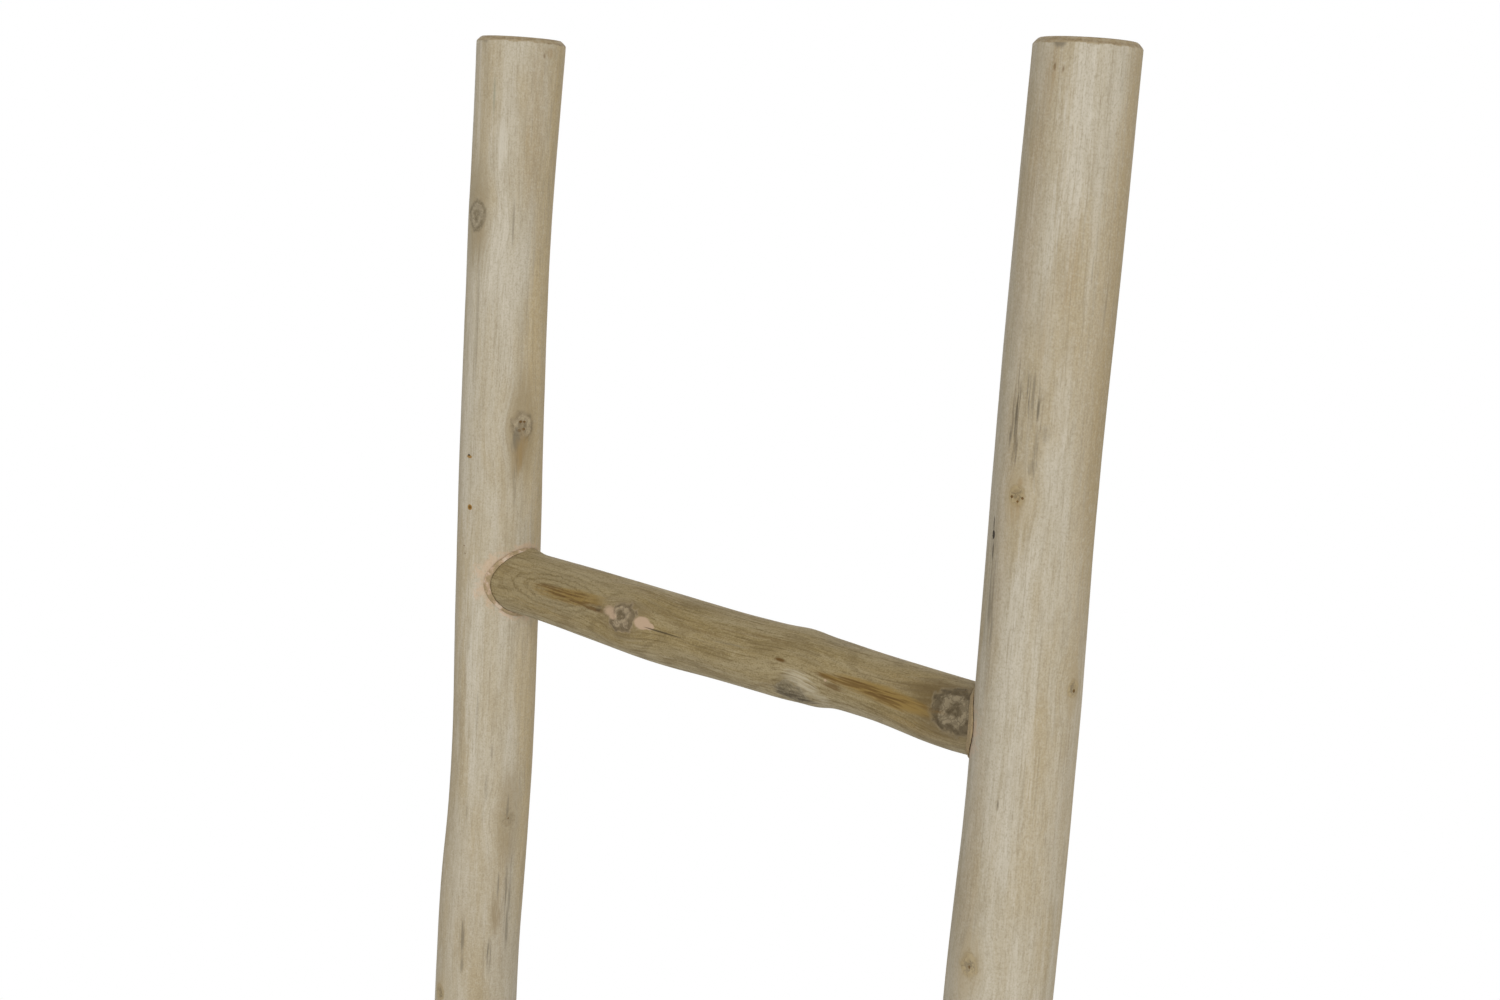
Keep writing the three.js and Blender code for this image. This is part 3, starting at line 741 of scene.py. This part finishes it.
rail_mark_tables = {
    "rail_left": [
        (249, 345, 1.3, 1.0, BROWN_DOT, 0.90, 0.1), (249, 351, 1.2, 0.9, BROWN_DOT, 0.85, 0.1),
        (255, 343, 1.6, 1.2, BROWN_DOT, 0.95, 0.1), (254, 350, 1.5, 1.0, BROWN_DOT, 0.95, 0.1),
        (266, 346, 5.1, 17, KNOT_STAIN_AND_PAINTED_SHADE, 0.80, 0.38), (261, 339, 3.6, 10, GREY_STAIN_AND_PAINTED_SHADE, 0.75, 0.4),
        (271, 346, 5.1, 15, RESIN_STAIN, 0.70, 0.5), (263, 354, 3.0, 8, RESIN_STAIN, 0.70, 0.6),
        (286, 340, 1.5, 24, GREY_STAIN_AND_PAINTED_SHADE, 0.50, 0.75), (275, 268, 2.6, 1.2, ORANGE_DOT, 0.90, 0.1),
        (274, 267, 1.2, 0.7, BLACK_CRACK, 0.80, 0.1), (309, 273, 2.2, 2.0, ORANGE_DOT, 1.0, 0.1),
        (309, 273, 1.2, 1.0, BROWN_DOT, 0.9, 0.1), (336, 264, 0.8, 0.6, BROWN_DOT, 0.70, 0.1),
        (341, 267, 0.7, 0.5, BROWN_DOT, 0.70, 0.1), (180, 272, 1.6, 52, GREY_STAIN_AND_PAINTED_SHADE, 0.45, 0.5),
        (120, 321, 1.0, 20, GREY_STAIN_AND_PAINTED_SHADE, 0.45, 0.4), (38, 286, 1.0, 14, GREEN_STAIN, 0.45, 0.4),
        (68, 301, 4.0, 22, PALE_PATCH, 0.55, 0.4), (476, 324, 1.0, 7, GREY_STAIN_AND_PAINTED_SHADE, 0.4, 0.4),
        (585, 358, 4.4, 50, GREY_STAIN_AND_PAINTED_SHADE, 0.62, 0.75), (612, 293, 2.2, 16, GREY_STAIN_AND_PAINTED_SHADE, 0.70, 0.7),
        (630, 294, 1.6, 9, GREY_STAIN_AND_PAINTED_SHADE, 0.60, 0.4), (624, 334, 2.0, 14, GREY_STAIN_AND_PAINTED_SHADE, 0.85, 0.75),
        (592, 340, 3.8, 19, KNOT_STAIN_AND_PAINTED_SHADE, 0.75, 0.75), (573, 342, 1.2, 12, GREY_STAIN_AND_PAINTED_SHADE, 0.85, 0.45),
        (524, 353, 0.9, 0.9, BROWN_DOT, 0.7, 0.1), (515, 351, 1.2, 9, GREY_STAIN_AND_PAINTED_SHADE, 0.5, 0.5),
        (500, 318, 1.4, 10, GREY_STAIN_AND_PAINTED_SHADE, 0.5, 0.6), (450, 300, 1.2, 14, GREY_STAIN_AND_PAINTED_SHADE, 0.4, 0.6),
        (520, 290, 1.2, 12, GREY_STAIN_AND_PAINTED_SHADE, 0.4, 0.6), (3, 266, 4.0, 2.5, GREY_STAIN_AND_PAINTED_SHADE, 0.5, 0.3),
        (9, 1, 5.0, 4.0, TAN_STAIN_AND_PAINTED_SHADE, 0.6, 0.5), (11, 353, 1.2, 2.2, BROWN_DOT, 0.5, 0.4),
        # The warm marks at turns 8 to 40 colour the rail's right edge: partly the wood's own tone and
        # partly painted light
        (60, 345, 10.0, 70, TAN_STAIN_AND_PAINTED_SHADE, 0.35, 0.5), (210, 8, 11.0, 130, WARM_SIDE_AND_PAINTED_LIGHT, 0.70, 0.4),
        (40, 32, 15.0, 110, WARM_SIDE_AND_PAINTED_LIGHT, 0.85, 0.3), (190, 40, 15.0, 150, WARM_SIDE_AND_PAINTED_LIGHT, 0.85, 0.3),
        (340, 36, 15.0, 130, WARM_SIDE_AND_PAINTED_LIGHT, 0.80, 0.3), (500, 34, 15.0, 160, WARM_SIDE_AND_PAINTED_LIGHT, 0.80, 0.3),
        # Painted shade: the two long, faint grey marks at turn 238 darken the rail's left edge
        (90, 238, 9.0, 140, GREY_STAIN_AND_PAINTED_SHADE, 0.12, 0.4), (380, 238, 9.0, 200, GREY_STAIN_AND_PAINTED_SHADE, 0.15, 0.4),
        (420, 8, 9.0, 80, WARM_SIDE_AND_PAINTED_LIGHT, 0.50, 0.4), (560, 350, 7.0, 90, TAN_STAIN_AND_PAINTED_SHADE, 0.30, 0.5),
        # Painted shade: the two broad, faint patches below darken the lower part of the rail's front
        (600, 262, 26.0, 100, KNOT_STAIN_AND_PAINTED_SHADE, 0.24, 0.3), (620, 325, 22.0, 90, KNOT_STAIN_AND_PAINTED_SHADE, 0.16, 0.3),
        (150, 303, 7.0, 60, PALE_PATCH, 0.45, 0.5), (420, 290, 8.0, 90, PALE_PATCH, 0.45, 0.5),
        (30, 250, 9.0, 60, PALE_PATCH, 0.25, 0.4), (118, 268, 9.0, 26, TAN_STAIN_AND_PAINTED_SHADE, 0.60, 0.5),
        (338, 352, 6.0, 1.4, BROWN_DOT, 0.60, 0.3), (460, 262, 6.0, 60, GREY_STAIN_AND_PAINTED_SHADE, 0.25, 0.6),
        (820, 190, 2.0, 60, GREY_STAIN_AND_PAINTED_SHADE, 0.4, 0.6), (1010, 310, 2.5, 45, GREY_STAIN_AND_PAINTED_SHADE, 0.4, 0.6),
        (1430, 330, 1.6, 50, GREY_STAIN_AND_PAINTED_SHADE, 0.4, 0.6), (1650, 150, 2.5, 70, GREY_STAIN_AND_PAINTED_SHADE, 0.4, 0.6),
    ],
    "rail_right": [
        (15, 272, 0.9, 2.2, BROWN_DOT, 0.65, 0.25), (16, 282, 0.8, 1.8, BROWN_DOT, 0.50, 0.25),
        (14, 271, 6.0, 11, TAN_STAIN_AND_PAINTED_SHADE, 0.50, 0.6), (26, 268, 4.0, 14, TAN_STAIN_AND_PAINTED_SHADE, 0.35, 0.6),
        (3, 275, 5.0, 3.2, GREY_STAIN_AND_PAINTED_SHADE, 0.75, 0.3), (0, 280, 12.0, 1.4, BLACK_CRACK, 0.5, 0.4),
        (190, 266, 5.0, 24, KNOT_SPLIT, 0.45, 1.0), (196, 288, 3.4, 22, KNOT_SPLIT, 0.40, 1.0),
        (186, 264, 0.8, 13, KNOT_SPLIT, 0.60, 0.5), (176, 280, 4.0, 13, GREY_STAIN_AND_PAINTED_SHADE, 0.50, 0.9),
        (191, 263, 1.0, 13, GREY_STAIN_AND_PAINTED_SHADE, 0.85, 0.6), (200, 258, 1.0, 9, GREY_STAIN_AND_PAINTED_SHADE, 0.8, 0.5),
        (184, 288, 0.9, 7, GREY_STAIN_AND_PAINTED_SHADE, 0.9, 0.4), (202, 289, 0.9, 11, GREY_STAIN_AND_PAINTED_SHADE, 0.8, 0.5),
        (170, 277, 0.9, 6, GREY_STAIN_AND_PAINTED_SHADE, 0.6, 0.5), (196, 297, 3.0, 6, GREY_STAIN_AND_PAINTED_SHADE, 0.35, 0.5),
        (214, 287, 3.0, 5, GREY_STAIN_AND_PAINTED_SHADE, 0.30, 0.4), (230, 268, 0.8, 0.8, BROWN_DOT, 0.9, 0.1),
        (232, 275, 0.7, 0.7, BROWN_DOT, 0.9, 0.1), (230, 280, 0.8, 0.8, BROWN_DOT, 0.9, 0.1),
        (236, 274, 4.0, 9, ORANGE_DOT, 0.22, 0.6), (222, 276, 2.0, 3.5, TAN_STAIN_AND_PAINTED_SHADE, 0.6, 0.4),
        (252, 244, 1.4, 2.6, BLACK_CRACK, 1.0, 0.1), (246, 243, 0.8, 5.0, BLACK_CRACK, 0.8, 0.2),
        (261, 245, 0.9, 6.5, BLACK_CRACK, 0.8, 0.2), (256, 244, 3.0, 14, GREY_STAIN_AND_PAINTED_SHADE, 0.30, 0.5),
        (285, 249, 4.5, 30, GREY_STAIN_AND_PAINTED_SHADE, 0.55, 0.7), (330, 1, 1.0, 1.0, BROWN_DOT, 0.9, 0.1),
        (392, 283, 0.9, 4.5, GREY_STAIN_AND_PAINTED_SHADE, 0.85, 0.3), (409, 338, 0.4, 7.0, GREY_STAIN_AND_PAINTED_SHADE, 0.7, 0.3),
        (483, 270, 1.0, 1.2, BROWN_DOT, 0.8, 0.2), (113, 332, 0.6, 12, GREY_STAIN_AND_PAINTED_SHADE, 0.35, 0.3),
        (55, 302, 10.0, 60, PALE_PATCH, 0.65, 0.5), (95, 282, 6.0, 34, PALE_PATCH, 0.45, 0.5),
        (112, 306, 6.0, 30, TAN_STAIN_AND_PAINTED_SHADE, 0.45, 0.6), (140, 285, 5.0, 24, TAN_STAIN_AND_PAINTED_SHADE, 0.30, 0.6),
        # Painted shade: the broad, faint tan and grey marks at turns 250 to 259, at drops 90, 250, 300
        # and 440, darken the left part of the rail's front step by step
        (90, 259, 9.0, 90, TAN_STAIN_AND_PAINTED_SHADE, 0.40, 0.4), (170, 355, 14.0, 150, TAN_SIDE_AND_PAINTED_LIGHT, 0.65, 0.4),
        # The tan and warm marks at turns 355 to 30 colour the rail's right edge: partly the wood's own
        # tone and partly painted light
        (60, 16, 14.0, 120, TAN_SIDE_AND_PAINTED_LIGHT, 0.80, 0.3), (200, 20, 15.0, 130, TAN_SIDE_AND_PAINTED_LIGHT, 0.90, 0.3),
        (410, 30, 12.0, 150, WARM_SIDE_AND_PAINTED_LIGHT, 0.40, 0.3), (250, 257, 7.0, 110, TAN_STAIN_AND_PAINTED_SHADE, 0.32, 0.4),
        (440, 257, 8.0, 120, TAN_STAIN_AND_PAINTED_SHADE, 0.34, 0.4), (135, 355, 1.0, 24, GREY_STAIN_AND_PAINTED_SHADE, 0.35, 0.6),
        (295, 287, 8.0, 60, PALE_PATCH, 0.45, 0.5), (340, 5, 8.0, 90, TAN_STAIN_AND_PAINTED_SHADE, 0.30, 0.5),
        (390, 300, 12.0, 60, PALE_PATCH, 0.35, 0.5), (190, 275, 8.0, 34, GREY_STAIN_AND_PAINTED_SHADE, 0.22, 0.7),
        (300, 250, 6.0, 70, GREY_STAIN_AND_PAINTED_SHADE, 0.25, 0.7), (640, 230, 2.0, 60, GREY_STAIN_AND_PAINTED_SHADE, 0.4, 0.6),
        (860, 300, 2.4, 50, GREY_STAIN_AND_PAINTED_SHADE, 0.4, 0.6), (1120, 340, 1.5, 60, GREY_STAIN_AND_PAINTED_SHADE, 0.4, 0.6),
        (1490, 290, 2.2, 70, GREY_STAIN_AND_PAINTED_SHADE, 0.4, 0.6),
    ],
}

rung_girths = {}
for number in range(1, RUNG_COUNT + 1):
    name = f"rung_{number}"
    low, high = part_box(name)
    centre = [(low[1] + high[1]) / 2, (low[2] + high[2]) / 2]
    rung_girths[name] = Girth(name, 0, centre, -RUNG_STRAIGHT, RUNG_STRAIGHT)


def rung_end(name, side):
    """Where a rung's axis meets a rail, in y and z, and how thick the rung is there."""
    girth = rung_girths[name]
    station = 0 if side < 0 else -1
    lean = girth.waves[station, 1]
    return (girth.centre[0] + lean.real, girth.centre[1] - lean.imag,
            girth.waves[station, 0].real)


rail_girths = {}
rail_knots = {}
for name, side in RAIL_SIDE.items():
    girth = Girth(name, 2, (side * RAIL_AXIS, 0.0), RAIL_CHAMFER, LADDER_HEIGHT - RAIL_CHAMFER)
    rail_girths[name] = girth
    rail_knots[name] = [knot_at(girth, LADDER_HEIGHT - drop * MM, *rest)
                        for drop, *rest in rail_knot_tables[name]]


def rail_stick(name, low, high, rings, extra, chamfer):
    """A length of a rail, with its outline grown by extra."""
    girth = rail_girths[name]
    piece = stick(
        name + "_wood", girth.nominal, low, high, 2, girth.centre, RAIL_SIDES, chamfer, rings)
    grow_to(piece, girth, rail_knots[name], RAIL_SEED[name], extra)
    return piece


def inner_face(rail, rung):
    """The x of a rail's skin where a rung's axis meets it."""
    side = RAIL_SIDE[rail]
    z = rung_end(rung, side)[1]
    return rail_girths[rail].skin_point(z, 0 if side < 0 else 180)[0]


def plug_stick(name, rail, rung, radius, depth, start, chamfer):
    """A round stick on a rung's axis, from start to depth below the rail's inner face."""
    side = RAIL_SIDE[rail]
    y, z, _ = rung_end(rung, side)
    bottom = inner_face(rail, rung) + side * depth
    return stick(
        name, radius, min(bottom, start), max(bottom, start), 0, (y, z), DRILL_SIDES, chamfer, ())


for name, side in RAIL_SIDE.items():
    girth = rail_girths[name]
    piece = rail_stick(name, 0, LADDER_HEIGHT, RAIL_RINGS, 0.0, RAIL_CHAMFER)
    drills = []
    joints = []
    for rung in rung_girths:
        start = inner_face(name, rung) - side * DRILL_OUTSIDE
        drills.append(
            plug_stick("drill", name, rung, MORTISE_RADIUS, MORTISE_DEPTH, start, 0))
        y, z, reach = rung_end(rung, side)
        joints.append((-side, y, z, reach * 1000))
    boolean(piece, drills, "DIFFERENCE")
    marks = [mark_at(girth, LADDER_HEIGHT - drop * MM, *rest)
             for drop, *rest in rail_mark_tables[name]]
    wood = PeeledWood(name + "_peeled", RAIL_PALETTE, RAIL_GRAIN, RAIL_CONTOURS, girth,
                      rail_knots[name], 2.0 + side)
    peeled(wood, marks)
    wood.lay_smears(joints)
    wood.lay_saw_cuts(RAIL_CHAMFER, LADDER_HEIGHT - RAIL_CHAMFER)
    hand_over(piece, wood.close_skin(), SMOOTH_ANGLE, name)


# Rungs.
# Four thinner, darker branches, each coped to the round of its rails, with a turned tenon
# at each end that is glued into the rail's mortise.
RUNG_SIDES = 80
RUNG_RINGS = (15, 13)
COPE_REACH = 45 * MM
COPE_RINGS = (27,)
SEAT_GAP = 0.3 * MM
TENON_RADIUS = 13.0 * MM
TENON_END_GAP = 2.0 * MM
TENON_CHAMFER = 1.2 * MM
TENON_ROOT = 170 * MM
RUNG_GRAIN = 1.45
RUNG_CONTOURS = 0.26
RUNG_PALETTE = (
    (0.395, 0.328, 0.198),
    (0.310, 0.246, 0.130),
    (0.268, 0.198, 0.082),
    (0.128, 0.088, 0.036),
)
BRANCH_KNOT = {**ANY_KNOT, "rings": 10.0, "light": (0.345, 0.272, 0.178),
               "dark": (0.140, 0.104, 0.060), "halo": 0.45, "halo_colour": (0.190, 0.140, 0.075),
               "flame": 0.6, "split": 0.35, "strength": 0.85, "turns": 0.82, "relief": 0.35,
               "warp": 1.2}
DARK_KNOT = {**ANY_KNOT, "rings": 10.0, "light": (0.275, 0.225, 0.145),
             "dark": (0.080, 0.060, 0.034), "halo": 0.75, "halo_colour": (0.120, 0.080, 0.032),
             "flame": 0.5, "split": 0.45, "strength": 0.85, "turns": 0.78, "relief": 0.35,
             "warp": 0.9}
BARK_SCAR = {**ANY_KNOT, "rings": 13.0, "light": (0.290, 0.250, 0.170),
             "dark": (0.105, 0.085, 0.055), "halo": 0.30, "halo_colour": (0.200, 0.165, 0.105),
             "flame": 0.9, "split": 0.6, "strength": 0.55, "warp": 1.6, "relief": 0.15}
GROWTH_LOOPS = {**ANY_KNOT, "rings": 27.0, "light": (0.315, 0.255, 0.145),
                "dark": (0.150, 0.108, 0.048), "halo": 0.0, "halo_colour": (0.2, 0.15, 0.08),
                "flame": 1.0, "split": 0.0, "strength": 0.36, "long": 0.26, "pull": 0.0,
                "warp": 0.35, "thin": 0.1, "turns": 0.9, "relief": 0.0}
BROWN_STREAK = (0.120, 0.066, 0.020)
OCHRE_STREAK = (0.262, 0.172, 0.052)
# Partly painted light: a paler, greyer underside, partly the branch's own tone and partly light from
# below painted in
GREY_UNDERSIDE_AND_PAINTED_LIGHT = (0.452, 0.385, 0.262)
PALE_BRANCH = (0.445, 0.388, 0.275)

# Knots and marks are placed by distance from the middle to the right, and by turn in degrees
# from the wall side over the top, so that 180 faces the room
rung_knot_tables = {
    "rung_1": [(-140, 158, 14.0, GROWTH_LOOPS), (-71, 166, 9.5, BRANCH_KNOT),
               (190, 158, 13.5, DARK_KNOT), (72, 208, 9.0, BARK_SCAR)],
    "rung_2": [(-60, 120, 8.0, BRANCH_KNOT), (118, 220, 7.0, DARK_KNOT)],
    "rung_3": [(-122, 210, 7.0, DARK_KNOT), (34, 150, 8.5, BRANCH_KNOT)],
    "rung_4": [(-20, 195, 7.5, BRANCH_KNOT), (104, 60, 8.0, DARK_KNOT)],
}
rung_mark_tables = {
    "rung_1": [
        # The first two marks are partly painted light: a paler band along the whole underside, partly
        # the branch's greyer tone and partly light from below
        (-110, 258, 21.0, 190, GREY_UNDERSIDE_AND_PAINTED_LIGHT, 0.85, 0.3),
        (110, 258, 21.0, 190, GREY_UNDERSIDE_AND_PAINTED_LIGHT, 0.85, 0.3), (-130, 160, 5.1, 34, OCHRE_STREAK, 0.75, 0.4),
        (-112, 154, 5.1, 30, OCHRE_STREAK, 0.75, 0.4), (-138, 160, 3.4, 24, BROWN_STREAK, 0.85, 0.85),
        (-112, 164, 3.6, 24, BROWN_STREAK, 0.80, 0.85), (-145, 150, 1.4, 15, BROWN_STREAK, 0.7, 0.5),
        (-112, 153, 2.2, 18, BROWN_STREAK, 0.7, 0.85), (-95, 161, 5.2, 8.5, BROWN_STREAK, 0.95, 0.45),
        (-94, 163, 2.4, 3.5, KNOT_SPLIT, 0.5, 0.5), (-84, 161, 3.6, 6.4, PINK_FILLER, 0.85, 0.38),
        (-79, 169, 2.4, 3.4, PINK_FILLER, 0.85, 0.30), (-53, 166, 4.0, 7.0, PINK_FILLER, 1.0, 0.08),
        (-47, 168, 2.2, 5.0, PINK_FILLER, 1.0, 0.08), (-30, 171, 0.55, 21, KNOT_SPLIT, 0.80, 0.15),
        (63, 160, 1.5, 5.5, BROWN_STREAK, 1.0, 0.2), (77, 178, 5.1, 11, PALE_BRANCH, 0.85, 0.55),
        (85, 191, 5.1, 10, PALE_BRANCH, 0.85, 0.55), (93, 206, 5.1, 9, PALE_BRANCH, 0.80, 0.55),
        (68, 213, 3.6, 12, KNOT_SPLIT, 0.65, 0.9), (80, 221, 3.2, 10, KNOT_SPLIT, 0.75, 0.8),
        (104, 176, 4.0, 9, BROWN_STREAK, 0.70, 0.7), (100, 164, 1.6, 11, BROWN_STREAK, 1.0, 0.3),
        (98, 170, 1.0, 1.0, PINK_FILLER, 0.9, 0.1), (128, 163, 5.1, 38, OCHRE_STREAK, 0.90, 0.3),
        (141, 167, 5.1, 28, OCHRE_STREAK, 0.80, 0.35), (154, 171, 5.1, 26, OCHRE_STREAK, 0.95, 0.3),
        (124, 163, 3.0, 34, BROWN_STREAK, 0.75, 0.9), (118, 159, 0.8, 22, BROWN_STREAK, 0.90, 0.3),
        (150, 167, 0.8, 24, BROWN_STREAK, 0.85, 0.3), (136, 171, 0.7, 16, BROWN_STREAK, 0.70, 0.3),
        (150, 170, 4.4, 28, BROWN_STREAK, 0.70, 0.9), (171, 165, 6.0, 10, BROWN_STREAK, 0.65, 0.7),
        (38, 133, 1.2, 30, BROWN_STREAK, 0.35, 0.8), (-10, 140, 1.6, 40, BROWN_STREAK, 0.30, 0.9),
        (92, 100, 8.0, 14, GREY_STAIN_AND_PAINTED_SHADE, 0.5, 0.6), (0, 205, 6.0, 40, GREY_STAIN_AND_PAINTED_SHADE, 0.25, 0.7),
        (165, 200, 7.0, 30, OCHRE_STREAK, 0.5, 0.7), (-172, 150, 14.0, 40, OCHRE_STREAK, 0.30, 0.5),
        (160, 140, 12.0, 50, OCHRE_STREAK, 0.35, 0.5), (20, 160, 1.4, 30, GREY_STAIN_AND_PAINTED_SHADE, 0.45, 0.8),
        (-20, 152, 1.2, 40, BROWN_STREAK, 0.35, 0.9), (-60, 110, 6.0, 60, BROWN_STREAK, 0.3, 0.9),
        (-150, 195, 8.0, 40, OCHRE_STREAK, 0.4, 0.7),
    ],
    "rung_2": [
        (-100, 150, 3.0, 30, BROWN_STREAK, 0.6, 0.7), (40, 190, 3.5, 40, OCHRE_STREAK, 0.6, 0.7),
        (150, 110, 2.0, 20, BROWN_STREAK, 0.6, 0.7),
    ],
    "rung_3": [
        (90, 170, 3.0, 35, OCHRE_STREAK, 0.6, 0.7), (-60, 120, 2.0, 30, BROWN_STREAK, 0.5, 0.7),
        (-150, 190, 2.0, 18, GREY_STAIN_AND_PAINTED_SHADE, 0.5, 0.6),
    ],
    "rung_4": [
        (-110, 160, 3.0, 30, OCHRE_STREAK, 0.6, 0.7), (60, 200, 2.6, 34, BROWN_STREAK, 0.6, 0.7),
        (150, 140, 2.0, 18, GREY_STAIN_AND_PAINTED_SHADE, 0.5, 0.6),
    ],
}

# The top branch was lopped in two places, which left steps on its skin
rung_swell_tables = {
    "rung_1": [(61, 77, 10, 0.6), (80, 77, 10, -0.4), (80, 262, 9, 1.1), (97, 262, 9, -0.8),
               (172, 257, 34, 1.5), (-72, 166, 15, 0.5), (-193, 77, 7, 2.4)],
    "rung_2": [(-60, 120, 16, 0.9)],
    "rung_3": [(34, 150, 18, 0.9)],
    "rung_4": [(104, 60, 16, 0.9)],
}


def swell_at(girth, along, turn, size, relief_mm):
    """A plain swelling, or a dip where its height is below zero, in millimetres."""
    return {"at": girth.skin_point(along, turn), "size": size * MM, "relief": relief_mm * MM}


for index, (name, girth) in enumerate(rung_girths.items()):
    knots = [knot_at(girth, x * MM, *rest) for x, *rest in rung_knot_tables[name]]
    swells = [swell_at(girth, x * MM, *rest) for x, *rest in rung_swell_tables[name]]
    marks = [mark_at(girth, x * MM, *rest) for x, *rest in rung_mark_tables[name]]
    piece = stick(name + "_wood", girth.nominal, -RAIL_AXIS, RAIL_AXIS, 0, girth.centre,
                  RUNG_SIDES, 0, RUNG_RINGS)
    grow_to(piece, girth, knots + swells, 20 + index)
    copes = []
    tenons = []
    for rail, side in RAIL_SIDE.items():
        z = rung_end(name, side)[1]
        copes.append(rail_stick(rail, z - COPE_REACH, z + COPE_REACH, COPE_RINGS, SEAT_GAP, 0))
        tenons.append(plug_stick("tenon", rail, name, TENON_RADIUS, MORTISE_DEPTH - TENON_END_GAP,
                                 side * TENON_ROOT, TENON_CHAMFER))
    boolean(piece, copes, "DIFFERENCE")
    boolean(piece, tenons, "UNION")
    wood = PeeledWood(name + "_peeled", RUNG_PALETTE, RUNG_GRAIN, RUNG_CONTOURS, girth, knots,
                      7.0 + index)
    peeled(wood, marks)
    hand_over(piece, wood.close_skin(), SMOOTH_ANGLE, name)


# Filler beads.
# Wood filler, pressed round each joint with a thumb and sanded when dry. It is pinkish where
# it is thick and takes up brown dust towards the branch.
BEAD_PRESS = 0.34 * MM
THUMB_WAVES = 260
THUMB_HEIGHT = 0.35 * MM
CRUMB_WAVES = 900
CRUMB_HEIGHT = 0.12 * MM
BEAD_SMOOTH_ANGLE = 60
FILLER_DUST = (0.320, 0.240, 0.135)
PALE_FILLER = (0.550, 0.455, 0.345)


def dry_filler(name, pink_low, pink_high, white):
    """Filler whose noise, between the two levels given, turns from brown dust to pink."""
    filler = Finish(name)
    place = filler.place()
    cloud = filler.noise(filler.stretch(place, 150.0), 3.0)
    grit = filler.noise(filler.stretch(place, 1400.0), 2.0)
    filler.colour = filler.blend(cloud.ramp(pink_low, pink_high), FILLER_DUST, PINK_FILLER)
    filler.coat(cloud.ramp(0.56, 0.66) * white, PALE_FILLER)
    filler.coat(grit.ramp(0.52, 0.75) * 0.45, KNOT_SPLIT)
    filler.height = grit + cloud
    return filler.close(0.82 + grit * 0.1, 0.3 * MM)


filler_finishes = {
    "left": dry_filler("filler_left", 0.47, 0.60, 0.8),
    "right": dry_filler("filler_right", 0.66, 0.85, 0.0)}

for rung in rung_girths:
    for side, material in filler_finishes.items():
        node = f"filler_{rung}_{side}"
        piece = bpy.data.objects.new(node + "_bead", bpy.data.objects[node].data.copy())
        bpy.context.scene.collection.objects.link(piece)
        only_selected(piece)
        bpy.ops.object.mode_set(mode="EDIT")
        bpy.ops.mesh.select_all(action="SELECT")
        bpy.ops.mesh.remove_doubles(threshold=0.01 * MM)
        bpy.ops.mesh.tris_convert_to_quads()
        bpy.ops.object.mode_set(mode="OBJECT")
        rounded = piece.modifiers.new("rounded", "SUBSURF")
        rounded.levels = 2
        rounded.render_levels = 2
        bpy.ops.object.modifier_apply(modifier="rounded")
        normals = [vert.normal.copy() for vert in piece.data.vertices]
        for vert, normal in zip(piece.data.vertices, normals):
            push = (BEAD_PRESS + THUMB_HEIGHT * noise.noise(vert.co * THUMB_WAVES)
                    + CRUMB_HEIGHT * noise.noise(vert.co * CRUMB_WAVES))
            vert.co += normal * push
        hand_over(piece, material, BEAD_SMOOTH_ANGLE, node)
